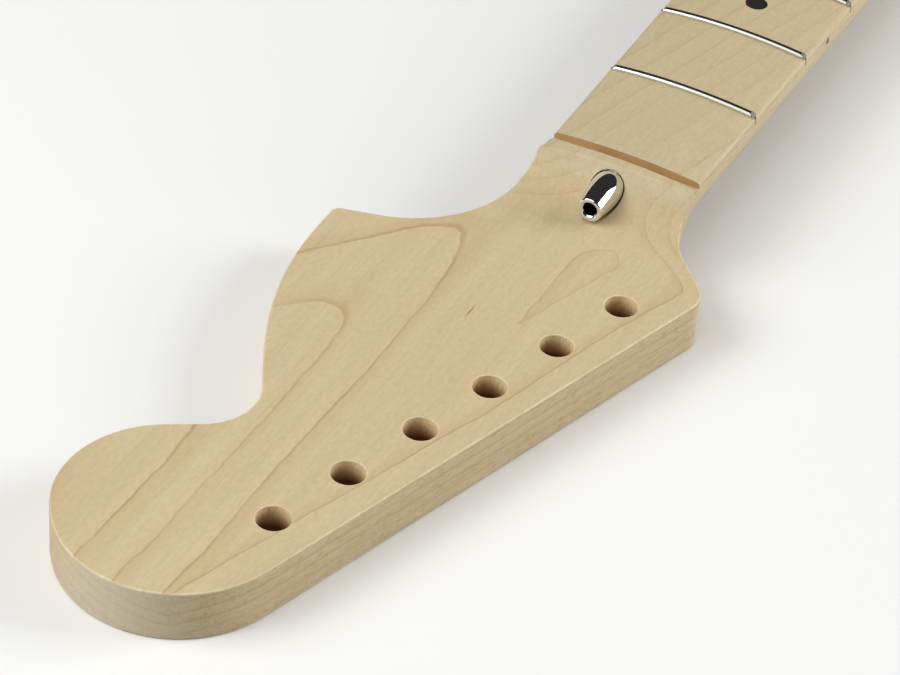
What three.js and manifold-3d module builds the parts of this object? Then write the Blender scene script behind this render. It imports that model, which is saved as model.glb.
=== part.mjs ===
// A bolt-on electric guitar neck, 25 1/2 inch scale, 21 frets, one-piece maple with a walnut stripe over
// the truss rod, a bullet-shaped truss-rod nut at the headstock and a large six-in-line headstock.
// Millimetres. The origin is the centre of the heel's four screw holes, on the heel's flat back.
// +X runs along the neck to the headstock, +Y to the bass strings, +Z out of the fingerboard.

import * as THREE from 'three';
import { mergeVertices } from 'three/addons/utils/BufferGeometryUtils.js';
import Module from 'manifold-3d';

const wasm = await Module();
wasm.setup();

// Fingerboard
const SCALE_LENGTH = 647.7;
const FRET_COUNT = 21;
const OCTAVE = 12;
const BOARD_PAST_LAST_FRET = 8.41;
const NUT_WIDTH = 42.86;
const HEEL_WIDTH = 56;
const BOARD_RADIUS = 184.15;
const EDGE_ROLL = 1.5;

// The plank: the backs of heel and headstock lie on z = 0 and the fingerboard's crown on its top
const PLANK = 25.4;
const HEAD_THICKNESS = 14.3;

// Heel
const PATTERN_INSET = 38.1;
const PATTERN_LENGTH = 50.8;
const PATTERN_WIDTH = 38.1;
const SCREW_HOLE = 3.2;
const SCREW_DEPTH = 16;
const HEEL_FLAT = 76.2;
const HEEL_END_BOW = 110;
const HEEL_CORNER = 7;
const HEEL_CORNER_STRAIGHT = 4;
const SHOULDER_LENGTH = 32;

// Carved back of the shaft
const DEPTH_AT_FIRST_FRET = 21;
const DEPTH_AT_OCTAVE = 23;
const SIDE_WALL = 5;
const CARVE_MARGIN = 0.12;
const CARVE_SINK = 2;
const HEEL_MARGIN = 6;
const HEAD_MARGIN = 76;
const HEAD_BLEND_BACK = 4;
const HEAD_BLEND_LENGTH = 50;
const HEAD_FLARE_LENGTH = 36;
const HEAD_CROWN_RISE = 2000;
const BACK_ROUNDNESS_SHARES = { shaft: 2.05, block: 6 };

// Headstock outline: a belt drawn round pegs, hollow where it passes a peg on its far side
const HEAD_PAST_LAST_TUNER = 37.85;
const HEAD_DROP = 65.2;
const HEAD_DROP_SHARES = { notch: 0.585, belly: 0.931, horn: 0.9322 };
const HORN_ALONG_SHARE = 0.2553;
const TIP_RADIUS = 30;
const TIP_STRAIGHT = 2;
const CHIN_RADIUS = 27.7;
const CHIN_STRAIGHT = 8.6;
const NOTCH_RADIUS = 14.95;
const BELLY_STRAIGHT = 13.4;
const BELLY_RADIUS = 114.5;
const HORN_RADIUS = 2.5;
const HORN_STRAIGHT = 9.7;
const THROAT_RADIUS = 33.8;
const THROAT_BELOW_EDGE = 3.65;
const TREBLE_FLARE_RADIUS = 30.5;
const TREBLE_FLARE_START = 1.1;
const BASS_FLARE_RADIUS = 18.5;
const EAR_STRAIGHT = 12.9;
const EAR_RADIUS = 8.6;
const EAR_BEYOND_TUNER = 13.7;
const ARC_ERROR = 0.03;

// Tuner holes, in a line beside the straight edge
const TUNER_COUNT = 6;
const TUNER_HOLE = 8.7;
const TUNER_SPACING = 24.27;
const TUNER_FIRST_ALONG = 46.6;
const TUNER_FIRST_ACROSS = 21.5;
const TUNER_LINE_ANGLE = THREE.MathUtils.degToRad(-16.82);
const TUNER_EDGE = 12.4;

// Nut slot, the land in front of it, and the scoop down to the headstock's face
const NUT_SLOT_WIDTH = 3.2;
const NUT_SLOT_DEPTH = 3;
const LAND_END = 6.3;
const SCOOP_RADIUS = 16;
const SCOOP_SLANT = THREE.MathUtils.degToRad(2.5);

// Truss rod, its washer and bullet nut at the headstock, its anchor and plug in the heel
const ROD_DIAMETER = 4.8;
const ROD_DROP_AT_NUT = 6.4;
const ROD_ASIDE_AT_NUT = 0.9;
const ROD_DROP_AT_ANCHOR = 12.7;
const ROD_LOW_DROP = 17.2;
const ROD_CLEARANCE = 0.3;
const ROD_STRAIGHT = 22;
const ROD_INSET_IN_ANCHOR = 1;
const ROD_END_GAP = 0.5;
const BARREL_DIAMETER = 7.9;
const BARREL_CHAMFER = 0.4;
const BARREL_LENGTH = 13.8;
const OGIVE_LENGTH = 11.6;
const MOUTH_DIAMETER = 5.8;
const SOCKET_ACROSS_FLATS = 3.2;
const SOCKET_DEPTH = 5.5;
const SOCKET_LEAD = 0.6;
const SOCKET_FLOOR = 0.6;
const THREAD_CLEARANCE = 0.25;
const BORE_START = 4.6;
const BORE_LENGTH = 22.4;
const BORE_CLEARANCE = 0.95;
const WASHER_CLEARANCE = 0.6;
const WASHER_THICKNESS = 1;
const SEAT_GAP = 0.1;
const ANCHOR_DIAMETER = 9.5;
const ANCHOR_LENGTH = 16;
const ANCHOR_SHOULDER = 20;
const ANCHOR_CLEARANCE = 0.05;
const PLUG_RECESS = 0.3;

// Channel and walnut stripe in the back
const STRIPE_WIDTH = 6.35;
const STRIPE_CLEARANCE = 0.04;
const STRIPE_START = 28;
const STRIPE_END_BEFORE_NUT = 24;

// Frets
const FRET_WIDTH = 2.3;
const FRET_HEIGHT = 1.1;
const FRET_END_INSET = 1.4;
const FRET_BEVEL = THREE.MathUtils.degToRad(35);
const FRET_SEAT = 0.05;
const TANG_THICKNESS = 0.5;
const TANG_DEPTH = 2.2;
const TANG_END_INSET = 0.1;
const TANG_CLEARANCE = 0.05;
const TANG_OVERLAP = 0.15;

// Inlaid position dots
const MARKED_FRETS = [3, 5, 7, 9, 12, 15, 17, 19, 21];
const FACE_DOT = 6.35;
const FACE_DOT_DEPTH = 1.6;
const FACE_DOT_SPREAD = 22;
const SIDE_DOT = 2;
const SIDE_DOT_DEPTH = 2.5;
const SIDE_DOT_DROP = 4.4;
const SIDE_DOT_SPREAD = 10;
const DOT_CLEARANCE = 0.04;

// One overrun serves every cut
const OVERRUN = 2;

// How finely round shapes are divided
const BACK_STEPS = 24;
const CROWN_STEPS = 6;
const ROLL_STEPS = 3;
const HOLE_SIDES = 28;
const ROUND_SIDES = 24;
const DOT_SIDES = 20;
const SMALL_SIDES = 12;
const HEX_SIDES = 6;
const STRIPE_END_STEPS = 4;
const ROD_STEPS = 20;
const SHOULDER_STEPS = 8;
const HEAD_BLEND_STEPS = 10;
const FRET_CROWN_STEPS = 6;
const OGIVE_STEPS = 6;

// Places worked out from the sizes above
const HEEL_END_X = -PATTERN_INSET;
const BOARD_LENGTH = fretDistance(FRET_COUNT) + BOARD_PAST_LAST_FRET;
const NUT_X = HEEL_END_X + BOARD_LENGTH;
const LAST_TUNER_ALONG = TUNER_FIRST_ALONG + (TUNER_COUNT - 1) * TUNER_SPACING * Math.cos(TUNER_LINE_ANGLE);
const HEAD_LENGTH = LAST_TUNER_ALONG + HEAD_PAST_LAST_TUNER;
const TAPER_ANGLE = Math.atan((HEEL_WIDTH - NUT_WIDTH) / 2 / BOARD_LENGTH);
const ROD_Y = -ROD_ASIDE_AT_NUT;
const ROD_Z = PLANK - ROD_DROP_AT_NUT;
const ANCHOR_Z = PLANK - ROD_DROP_AT_ANCHOR;
const ANCHOR_BORE = ANCHOR_DIAMETER + 2 * ANCHOR_CLEARANCE;
const ANCHOR_START_X = ANCHOR_SHOULDER - ANCHOR_LENGTH;
const BORE_X = NUT_X + BORE_START;
const BORE_DIAMETER = BARREL_DIAMETER + 2 * BORE_CLEARANCE;
const WASHER_X = BORE_X + SEAT_GAP;
const BARREL_X = WASHER_X + WASHER_THICKNESS + SEAT_GAP;
const MOUTH_X = BARREL_X + BARREL_LENGTH;
const THREAD_END_X = MOUTH_X - SOCKET_DEPTH - SOCKET_FLOOR;
const THREAD_DIAMETER = ROD_DIAMETER + 2 * THREAD_CLEARANCE;

const { clamp, euclideanModulo, lerp, smoothstep } = THREE.MathUtils;

const maple = new THREE.MeshStandardMaterial({ color: '#d6bd92', roughness: 0.6, metalness: 0 });
const walnut = new THREE.MeshStandardMaterial({ color: '#5a3a24', roughness: 0.6, metalness: 0 });
const nickelSilver = new THREE.MeshStandardMaterial({ color: '#c9c7bf', roughness: 0.22, metalness: 1 });
const chrome = new THREE.MeshStandardMaterial({ color: '#d8dadd', roughness: 0.08, metalness: 1 });
const steel = new THREE.MeshStandardMaterial({ color: '#8d9094', roughness: 0.4, metalness: 1 });
const blackInlay = new THREE.MeshStandardMaterial({ color: '#0b0b0c', roughness: 0.3, metalness: 0 });

// Solids for cutting and joining, made from three.js geometry, and meshes made from them

function solidOf(geometry) {
  const plain = geometry.index ? geometry.toNonIndexed() : geometry;
  plain.deleteAttribute('normal');
  plain.deleteAttribute('uv');
  const merged = mergeVertices(plain);
  return new wasm.Manifold(new wasm.Mesh({
    numProp: 3,
    vertProperties: new Float32Array(merged.attributes.position.array),
    triVerts: new Uint32Array(merged.index.array),
  }));
}

function meshOf(name, solid, material) {
  const { vertProperties, triVerts } = solid.getMesh();
  const geometry = new THREE.BufferGeometry();
  geometry.setAttribute('position', new THREE.BufferAttribute(new Float32Array(vertProperties), 3));
  geometry.setIndex(new THREE.BufferAttribute(new Uint32Array(triVerts), 1));
  geometry.computeVertexNormals();
  const mesh = new THREE.Mesh(geometry, material);
  mesh.name = name;
  return mesh;
}

function joined(solids) {
  return solids.reduce((whole, next) => whole.add(next));
}

function extruded(points, depth) {
  const shape = new THREE.Shape(points.map(([a, b]) => new THREE.Vector2(a, b)));
  return new THREE.ExtrudeGeometry(shape, { depth, bevelEnabled: false, steps: 1 });
}

// An outline in x and y, raised from one height to another
function standing(points, low, high) {
  return solidOf(extruded(points, high - low).translate(0, 0, low));
}

// An outline in x and z, given a width across the neck
function sideways(points, width) {
  return extruded(points, width).rotateX(Math.PI / 2).translate(0, width / 2, 0);
}

// An outline in y and z, given a thickness along the neck, centred on x
function crosswise(points, thickness, x) {
  const geometry = extruded(points, thickness).rotateX(Math.PI / 2).rotateZ(Math.PI / 2);
  return solidOf(geometry.translate(x - thickness / 2, 0, 0));
}

function upright(diameter, sides, x, y, low, high) {
  const geometry = new THREE.CylinderGeometry(diameter / 2, diameter / 2, high - low, sides);
  return solidOf(geometry.rotateX(Math.PI / 2).translate(x, y, (low + high) / 2));
}

function lengthwise(diameter, sides, from, to, y, z) {
  const geometry = new THREE.CylinderGeometry(diameter / 2, diameter / 2, to - from, sides);
  return solidOf(geometry.rotateZ(-Math.PI / 2).translate((from + to) / 2, y, z));
}

// A skin over a row of rings of the same count, closed at both ends
function lofted(rings, sectionOf) {
  const count = rings[0].length;
  const index = [];
  for (let r = 0; r + 1 < rings.length; r++) {
    for (let k = 0; k < count; k++) {
      const a = r * count + k;
      const b = r * count + ((k + 1) % count);
      index.push(a, b, b + count, a, b + count, a + count);
    }
  }
  const addCap = (r, isFirst) => {
    const contour = rings[r].map((point) => new THREE.Vector2(...sectionOf(point)));
    for (const [a, b, c] of THREE.ShapeUtils.triangulateShape(contour, [])) {
      const corners = isFirst ? [a, c, b] : [a, b, c];
      index.push(...corners.map((corner) => r * count + corner));
    }
  };
  addCap(0, true);
  addCap(rings.length - 1, false);
  const geometry = new THREE.BufferGeometry();
  geometry.setAttribute('position', new THREE.Float32BufferAttribute(rings.flat(2), 3));
  geometry.setIndex(index);
  return solidOf(geometry);
}

// The fingerboard's taper and the frets' places

function boardHalf(x) {
  return lerp(HEEL_WIDTH, NUT_WIDTH, (x - HEEL_END_X) / BOARD_LENGTH) / 2;
}

function fretDistance(number) {
  return SCALE_LENGTH * (1 - 2 ** (-number / OCTAVE));
}

function fretX(number) {
  return NUT_X - fretDistance(number);
}

// The point at a distance outward from the board's edge at x; side is 1 for bass and -1 for treble
function besideEdge(x, side, distance) {
  const along = distance * Math.sin(TAPER_ANGLE);
  const across = distance * Math.cos(TAPER_ANGLE);
  return [x + along, side * (boardHalf(x) + across)];
}

// The point at a distance along the line of tuners from the first, and outward towards the bass edge
function besideTuners(along, outward) {
  const cos = Math.cos(TUNER_LINE_ANGLE);
  const sin = Math.sin(TUNER_LINE_ANGLE);
  return [
    NUT_X + TUNER_FIRST_ALONG + along * cos - outward * sin,
    TUNER_FIRST_ACROSS + along * sin + outward * cos,
  ];
}

// The outline of the whole neck is a belt pulled anticlockwise round pegs. A peg's turn is its radius,
// negative where the belt passes on its far side and hollows the outline.

// A peg on a line through a point, placed so that the belt runs straight for a length to its neighbour
function pegBefore(neighbour, turn, straight, point, angle = 0) {
  const along = new THREE.Vector2(Math.cos(angle), Math.sin(angle));
  const toNeighbour = new THREE.Vector2(neighbour.at[0] - point[0], neighbour.at[1] - point[1]);
  const offset = toNeighbour.cross(along);
  const reach = Math.sqrt((neighbour.turn - turn) ** 2 + straight ** 2 - offset ** 2);
  const place = toNeighbour.dot(along) - reach;
  return { at: [point[0] + place * along.x, point[1] + place * along.y], turn };
}

function headPegs() {
  const level = (name) => -HEAD_DROP_SHARES[name] * HEAD_DROP;
  const tipX = NUT_X + HEAD_LENGTH - TIP_RADIUS;
  const chin = { at: [tipX, CHIN_RADIUS - HEAD_DROP], turn: CHIN_RADIUS };
  const tip = pegBefore(chin, TIP_RADIUS, TIP_STRAIGHT, [tipX, 0], -Math.PI / 2);
  const notch = pegBefore(chin, -NOTCH_RADIUS, CHIN_STRAIGHT, [NUT_X, level('notch') - NOTCH_RADIUS]);
  const belly = pegBefore(notch, BELLY_RADIUS, BELLY_STRAIGHT, [NUT_X, level('belly') + BELLY_RADIUS]);
  const hornPlace = [NUT_X + HORN_ALONG_SHARE * HEAD_LENGTH, level('horn') + HORN_RADIUS];
  const horn = { at: hornPlace, turn: HORN_RADIUS };
  const throatPoint = [NUT_X, -NUT_WIDTH / 2 - THROAT_BELOW_EDGE - THROAT_RADIUS];
  const throat = pegBefore(horn, -THROAT_RADIUS, HORN_STRAIGHT, throatPoint);
  const ear = { at: besideTuners(-EAR_BEYOND_TUNER, TUNER_EDGE - EAR_RADIUS), turn: EAR_RADIUS };
  const flarePoint = besideEdge(NUT_X, 1, BASS_FLARE_RADIUS);
  const bassFlare = pegBefore(ear, -BASS_FLARE_RADIUS, EAR_STRAIGHT, flarePoint, -TAPER_ANGLE);
  return [throat, horn, belly, notch, chin, tip, ear, bassFlare];
}

function heelCorner(bow, side) {
  const point = besideEdge(HEEL_END_X, side, -HEEL_CORNER);
  return pegBefore(bow, HEEL_CORNER, HEEL_CORNER_STRAIGHT, point, -side * TAPER_ANGLE);
}

function outlinePegs() {
  const bow = { at: [HEEL_END_X + HEEL_END_BOW, 0], turn: HEEL_END_BOW };
  const flareAt = besideEdge(NUT_X + TREBLE_FLARE_START, -1, TREBLE_FLARE_RADIUS);
  const trebleFlare = { at: flareAt, turn: -TREBLE_FLARE_RADIUS };
  return [heelCorner(bow, 1), bow, heelCorner(bow, -1), trebleFlare, ...headPegs()];
}

// The direction, from a peg's centre, in which the belt leaves it for the next
function leavingAngle(peg, next) {
  const run = new THREE.Vector2(next.at[0] - peg.at[0], next.at[1] - peg.at[1]);
  return Math.atan2(run.y, run.x) - Math.acos((peg.turn - next.turn) / run.length());
}

function belt(pegs) {
  const leaving = pegs.map((peg, i) => leavingAngle(peg, pegs[(i + 1) % pegs.length]));
  return pegs.flatMap(({ at, turn }, i) => {
    const from = leaving.at(i - 1);
    const way = Math.sign(turn);
    const sweep = way * euclideanModulo(way * (leaving[i] - from), 2 * Math.PI);
    const widestStep = 2 * Math.acos(1 - ARC_ERROR / Math.abs(turn));
    const steps = Math.ceil(Math.abs(sweep) / widestStep);
    return Array.from({ length: steps + 1 }, (_, k) => {
      const angle = from + (sweep * k) / steps;
      return [at[0] + turn * Math.cos(angle), at[1] + turn * Math.sin(angle)];
    });
  });
}

// The carving: a ring of crowned top, rolled edges, upright sides and rounded back at each place

function shaftDepth(x) {
  const share = (x - fretX(1)) / (fretX(OCTAVE) - fretX(1));
  return lerp(DEPTH_AT_FIRST_FRET, DEPTH_AT_OCTAVE, share);
}

function carvingAt(x) {
  const flatEnd = HEEL_END_X + HEEL_FLAT;
  const inHeel = 1 - smoothstep(x, flatEnd, flatEnd + SHOULDER_LENGTH);
  const blendStart = NUT_X - HEAD_BLEND_BACK;
  const block = Math.max(inHeel, smoothstep(x, blendStart, blendStart + HEAD_BLEND_LENGTH));
  const flare = clamp((x - NUT_X) / HEAD_FLARE_LENGTH, 0, 1) ** 3;
  const topHalf = boardHalf(x) + CARVE_MARGIN + HEAD_MARGIN * flare;
  return {
    topHalf,
    backHalf: topHalf + HEEL_MARGIN * inHeel,
    depth: lerp(shaftDepth(x), PLANK + CARVE_SINK, block),
    roundness: lerp(BACK_ROUNDNESS_SHARES.shaft, BACK_ROUNDNESS_SHARES.block, block),
    crown: BOARD_RADIUS + HEAD_CROWN_RISE * flare,
  };
}

// Where a crown meets its rolled edge, as an angle about the crown's centre line
function crownReach(half, radius) {
  return Math.asin((half - EDGE_ROLL) / (radius - EDGE_ROLL));
}

// A point of the crown, or one lifted off it, in y and z
function onCrown(radius, angle, lift = 0) {
  return [(radius + lift) * Math.sin(angle), PLANK - radius + (radius + lift) * Math.cos(angle)];
}

// The top in section from the treble edge to the bass edge; what lies between the rolls can be lifted
function crownSection(half, radius, lift = 0) {
  const reach = crownReach(half, radius);
  const points = [];
  for (let k = 0; k <= CROWN_STEPS; k++) {
    const isInner = k > 0 && k < CROWN_STEPS;
    points.push(onCrown(radius, lerp(-reach, reach, k / CROWN_STEPS), isInner ? lift : 0));
  }
  const [rollY, rollZ] = onCrown(radius, reach, -EDGE_ROLL);
  for (let k = 1; k <= ROLL_STEPS; k++) {
    const angle = lerp(reach, Math.PI / 2, k / ROLL_STEPS);
    const y = rollY + EDGE_ROLL * Math.sin(angle);
    const z = rollZ + EDGE_ROLL * Math.cos(angle);
    points.push([y, z]);
    points.unshift([-y, z]);
  }
  return points;
}

function carvedRing(x) {
  const { topHalf, backHalf, depth, roundness, crown } = carvingAt(x);
  const back = [];
  for (let k = 0; k <= BACK_STEPS; k++) {
    const angle = (Math.PI * k) / BACK_STEPS;
    const across = Math.sign(Math.cos(angle)) * Math.abs(Math.cos(angle)) ** (2 / roundness);
    const down = Math.sin(angle) ** (2 / roundness);
    back.push([backHalf * across, PLANK - SIDE_WALL - (depth - SIDE_WALL) * down]);
  }
  return [...crownSection(topHalf, crown), ...back].map(([y, z]) => [x, y, z]).reverse();
}

function carvedBody() {
  const shoulderStart = HEEL_END_X + HEEL_FLAT;
  const blendStart = NUT_X - HEAD_BLEND_BACK;
  const places = [HEEL_END_X - OVERRUN];
  for (let k = 0; k <= SHOULDER_STEPS; k++) {
    places.push(shoulderStart + (SHOULDER_LENGTH * k) / SHOULDER_STEPS);
  }
  for (let k = 0; k <= HEAD_BLEND_STEPS; k++) {
    places.push(blendStart + (HEAD_BLEND_LENGTH * k) / HEAD_BLEND_STEPS);
  }
  places.push(NUT_X + HEAD_LENGTH + OVERRUN);
  return lofted(places.map(carvedRing), ([, y, z]) => [y, z]);
}

// What is cut away over the headstock's face, scooped up to the land in front of the nut slot
function scoopCutter() {
  const landRise = PLANK - HEAD_THICKNESS;
  const rise = landRise + OVERRUN;
  const centreX = LAND_END + Math.sqrt(SCOOP_RADIUS ** 2 - (SCOOP_RADIUS - landRise) ** 2);
  const top = Math.acos((SCOOP_RADIUS - rise) / SCOOP_RADIUS);
  const steps = Math.ceil(top / (2 * Math.acos(1 - ARC_ERROR / SCOOP_RADIUS)));
  const far = HEAD_LENGTH + HEAD_DROP;
  const profile = [[far, HEAD_THICKNESS], [far, HEAD_THICKNESS + rise]];
  for (let k = 0; k <= steps; k++) {
    const angle = lerp(top, 0, k / steps);
    const x = centreX - SCOOP_RADIUS * Math.sin(angle);
    profile.push([x, HEAD_THICKNESS + SCOOP_RADIUS * (1 - Math.cos(angle))]);
  }
  return solidOf(sideways(profile, 2 * far).rotateZ(SCOOP_SLANT).translate(NUT_X, 0, 0));
}

function nutSlot() {
  const end = NUT_X + NUT_SLOT_WIDTH;
  const floor = PLANK - NUT_SLOT_DEPTH;
  const high = PLANK + OVERRUN;
  return solidOf(sideways([[NUT_X, floor], [end, floor], [end, high], [NUT_X, high]], HEEL_WIDTH));
}

// The rod's path: level in the anchor and at the nut, which lies aside, bowed low in the shaft between
function rodPoints(from, to) {
  const start = new THREE.Vector3(ANCHOR_SHOULDER, 0, ANCHOR_Z);
  const end = new THREE.Vector3(NUT_X - ROD_STRAIGHT, ROD_Y, ROD_Z);
  const third = (end.x - start.x) / 3;
  const low = PLANK - ROD_LOW_DROP;
  const leaving = new THREE.Vector3(start.x + third, 0, low);
  const arriving = new THREE.Vector3(end.x - third, ROD_Y, (low + ROD_Z) / 2);
  const bow = new THREE.CubicBezierCurve3(start, leaving, arriving, end);
  const first = new THREE.Vector3(from, 0, ANCHOR_Z);
  return [first, ...bow.getPoints(ROD_STEPS), new THREE.Vector3(to, ROD_Y, ROD_Z)];
}

function alongRod(diameter, from, to) {
  const rings = rodPoints(from, to).map(({ x, y, z }) => Array.from({ length: SMALL_SIDES }, (_, k) => {
    const angle = (2 * Math.PI * k) / SMALL_SIDES;
    return [x, y + (diameter / 2) * Math.cos(angle), z + (diameter / 2) * Math.sin(angle)];
  }));
  return lofted(rings, ([, y, z]) => [y, z]);
}

// A round-ended slot in the back, as high as the rod's path and a lift
function channel(width, start, end, lift) {
  const radius = width / 2;
  const outline = new THREE.Path();
  outline.absarc(start + radius, 0, radius, Math.PI / 2, (3 * Math.PI) / 2, false);
  outline.absarc(end - radius, 0, radius, -Math.PI / 2, Math.PI / 2, false);
  const plan = outline.getPoints(STRIPE_END_STEPS).map(({ x, y }) => [x, y]);
  const ceiling = rodPoints(ANCHOR_START_X, NUT_X).map(({ x, z }) => [x, z + lift]);
  const profile = [...ceiling, [NUT_X, -OVERRUN], [ANCHOR_START_X, -OVERRUN]];
  return standing(plan, -OVERRUN, PLANK).intersect(solidOf(sideways(profile, 2 * width)));
}

// Frets, each made at x = 0 for the board's half width where it goes

function tangFloor(half, depth) {
  const end = Math.asin(half / (BOARD_RADIUS - depth));
  return Array.from({ length: CROWN_STEPS + 1 }, (_, k) => (
    onCrown(BOARD_RADIUS, lerp(end, -end, k / CROWN_STEPS), -depth)
  ));
}

function fretSlot(x) {
  const half = boardHalf(x) + OVERRUN;
  const high = PLANK + OVERRUN;
  const outline = [[-half, high], [half, high], ...tangFloor(half, TANG_DEPTH + TANG_CLEARANCE)];
  return crosswise(outline, TANG_THICKNESS + 2 * TANG_CLEARANCE, x);
}

function fretTang(half) {
  const end = half - TANG_END_INSET;
  const top = crownSection(end, BOARD_RADIUS, FRET_SEAT + TANG_OVERLAP);
  return crosswise([...top, ...tangFloor(end, TANG_DEPTH)], TANG_THICKNESS, 0);
}

function fretCrown(half) {
  const reach = crownReach(half + CARVE_MARGIN, BOARD_RADIUS);
  const rings = Array.from({ length: CROWN_STEPS + 1 }, (_, k) => (
    Array.from({ length: FRET_CROWN_STEPS + 1 }, (__, i) => {
      const around = (Math.PI * i) / FRET_CROWN_STEPS;
      const height = FRET_HEIGHT * Math.sin(around);
      const endY = half - FRET_END_INSET - height * Math.tan(FRET_BEVEL);
      const end = Math.asin(endY / (BOARD_RADIUS + FRET_SEAT + height));
      const angle = clamp(lerp(-reach, reach, k / CROWN_STEPS), -end, end);
      return [(-FRET_WIDTH / 2) * Math.cos(around), ...onCrown(BOARD_RADIUS, angle, FRET_SEAT + height)];
    })
  ));
  return lofted(rings, ([x, , z]) => [z, x]);
}

function fret(number) {
  const x = fretX(number);
  const half = boardHalf(x);
  const name = `fret_${String(number).padStart(2, '0')}`;
  const mesh = meshOf(name, fretTang(half).add(fretCrown(half)), nickelSilver);
  mesh.position.x = x;
  return mesh;
}

// Position dots: one on the face and one in the bass side at each marked fret, two at the octave

function dotPlaces() {
  return MARKED_FRETS.flatMap((number) => {
    const x = (fretX(number - 1) + fretX(number)) / 2;
    const label = String(number).padStart(2, '0');
    if (number !== OCTAVE) {
      return [{ label, x, sideX: x, y: 0 }];
    }
    return [-1, 1].map((side) => ({
      label: `${label}_${side < 0 ? 'a' : 'b'}`,
      x,
      sideX: x + (side * SIDE_DOT_SPREAD) / 2,
      y: (side * FACE_DOT_SPREAD) / 2,
    }));
  });
}

function faceDotBlank({ x, y }, clearance) {
  const floor = onCrown(BOARD_RADIUS, Math.asin(y / BOARD_RADIUS))[1] - FACE_DOT_DEPTH - clearance;
  return upright(FACE_DOT + 2 * clearance, DOT_SIDES, x, y, floor, PLANK + OVERRUN);
}

function sideDotBlank({ sideX }, clearance) {
  const radius = SIDE_DOT / 2 + clearance;
  const inner = boardHalf(sideX) - SIDE_DOT_DEPTH - clearance;
  const length = SIDE_DOT_DEPTH + clearance + OVERRUN;
  const geometry = new THREE.CylinderGeometry(radius, radius, length, SMALL_SIDES);
  return solidOf(geometry.translate(sideX, inner + length / 2, PLANK - SIDE_DOT_DROP));
}

// Truss rod and what goes with it

function rodNut() {
  const radius = BARREL_DIAMETER / 2;
  const mouthRadius = MOUTH_DIAMETER / 2;
  const socketRadius = SOCKET_ACROSS_FLATS / 2 / Math.cos(Math.PI / HEX_SIDES);
  const profile = [
    [0, THREAD_END_X],
    [THREAD_DIAMETER / 2, THREAD_END_X],
    [THREAD_DIAMETER / 2, BARREL_X],
    [radius - BARREL_CHAMFER, BARREL_X],
    [radius, BARREL_X + BARREL_CHAMFER],
  ];
  for (let k = 0; k <= OGIVE_STEPS; k++) {
    const share = k / OGIVE_STEPS;
    profile.push([lerp(radius, mouthRadius, share ** 2), MOUTH_X - OGIVE_LENGTH * (1 - share)]);
  }
  profile.push([socketRadius + SOCKET_LEAD / 2, MOUTH_X]);
  profile.push([socketRadius - SOCKET_LEAD / 2, MOUTH_X - SOCKET_LEAD]);
  profile.push([0, MOUTH_X - SOCKET_LEAD]);
  const points = profile.map(([distance, x]) => new THREE.Vector2(distance, x));
  const lathe = new THREE.LatheGeometry(points, ROUND_SIDES).rotateZ(-Math.PI / 2);
  const barrel = solidOf(lathe.translate(0, ROD_Y, ROD_Z));
  const end = MOUTH_X + OVERRUN;
  const socket = lengthwise(2 * socketRadius, HEX_SIDES, MOUTH_X - SOCKET_DEPTH, end, ROD_Y, ROD_Z);
  return meshOf('truss_rod_nut', barrel.subtract(socket), chrome);
}

function rodWasher() {
  const end = WASHER_X + WASHER_THICKNESS;
  const diameter = BORE_DIAMETER - 2 * WASHER_CLEARANCE;
  const disc = lengthwise(diameter, ROUND_SIDES, WASHER_X, end, ROD_Y, ROD_Z);
  const hole = lengthwise(THREAD_DIAMETER, ROUND_SIDES, WASHER_X - OVERRUN, end + OVERRUN, ROD_Y, ROD_Z);
  return meshOf('truss_rod_washer', disc.subtract(hole), steel);
}

function rodAnchor() {
  const end = ANCHOR_SHOULDER - SEAT_GAP;
  const barrel = lengthwise(ANCHOR_DIAMETER, ROUND_SIDES, ANCHOR_START_X, end, 0, ANCHOR_Z);
  const start = ANCHOR_START_X - OVERRUN;
  const hole = lengthwise(THREAD_DIAMETER, ROUND_SIDES, start, end + OVERRUN, 0, ANCHOR_Z);
  return meshOf('truss_rod_anchor', barrel.subtract(hole), steel);
}

function trussRod() {
  const solid = alongRod(ROD_DIAMETER, ANCHOR_START_X + ROD_INSET_IN_ANCHOR, THREAD_END_X - ROD_END_GAP);
  return meshOf('truss_rod', solid, steel);
}

function heelPlug() {
  const end = ANCHOR_START_X - SEAT_GAP;
  const plug = lengthwise(ANCHOR_DIAMETER, ROUND_SIDES, HEEL_END_X + PLUG_RECESS, end, 0, ANCHOR_Z);
  return meshOf('heel_plug', plug, maple);
}

function skunkStripe() {
  const start = STRIPE_START + STRIPE_CLEARANCE;
  const end = NUT_X - STRIPE_END_BEFORE_NUT - STRIPE_CLEARANCE;
  const lift = -ROD_DIAMETER / 2 - ROD_CLEARANCE;
  const strip = channel(STRIPE_WIDTH - 2 * STRIPE_CLEARANCE, start, end, lift).intersect(blank);
  return meshOf('skunk_stripe', strip, walnut);
}

// The neck

function rodCuts() {
  const holeDiameter = ROD_DIAMETER + 2 * ROD_CLEARANCE;
  const channelEnd = NUT_X - STRIPE_END_BEFORE_NUT;
  return [
    alongRod(holeDiameter, ANCHOR_SHOULDER - OVERRUN, BORE_X + OVERRUN),
    lengthwise(ANCHOR_BORE, ROUND_SIDES, HEEL_END_X - OVERRUN, ANCHOR_SHOULDER, 0, ANCHOR_Z),
    lengthwise(BORE_DIAMETER, HOLE_SIDES, BORE_X, BORE_X + BORE_LENGTH, ROD_Y, ROD_Z),
    channel(STRIPE_WIDTH, STRIPE_START, channelEnd, holeDiameter / 2),
  ];
}

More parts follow.
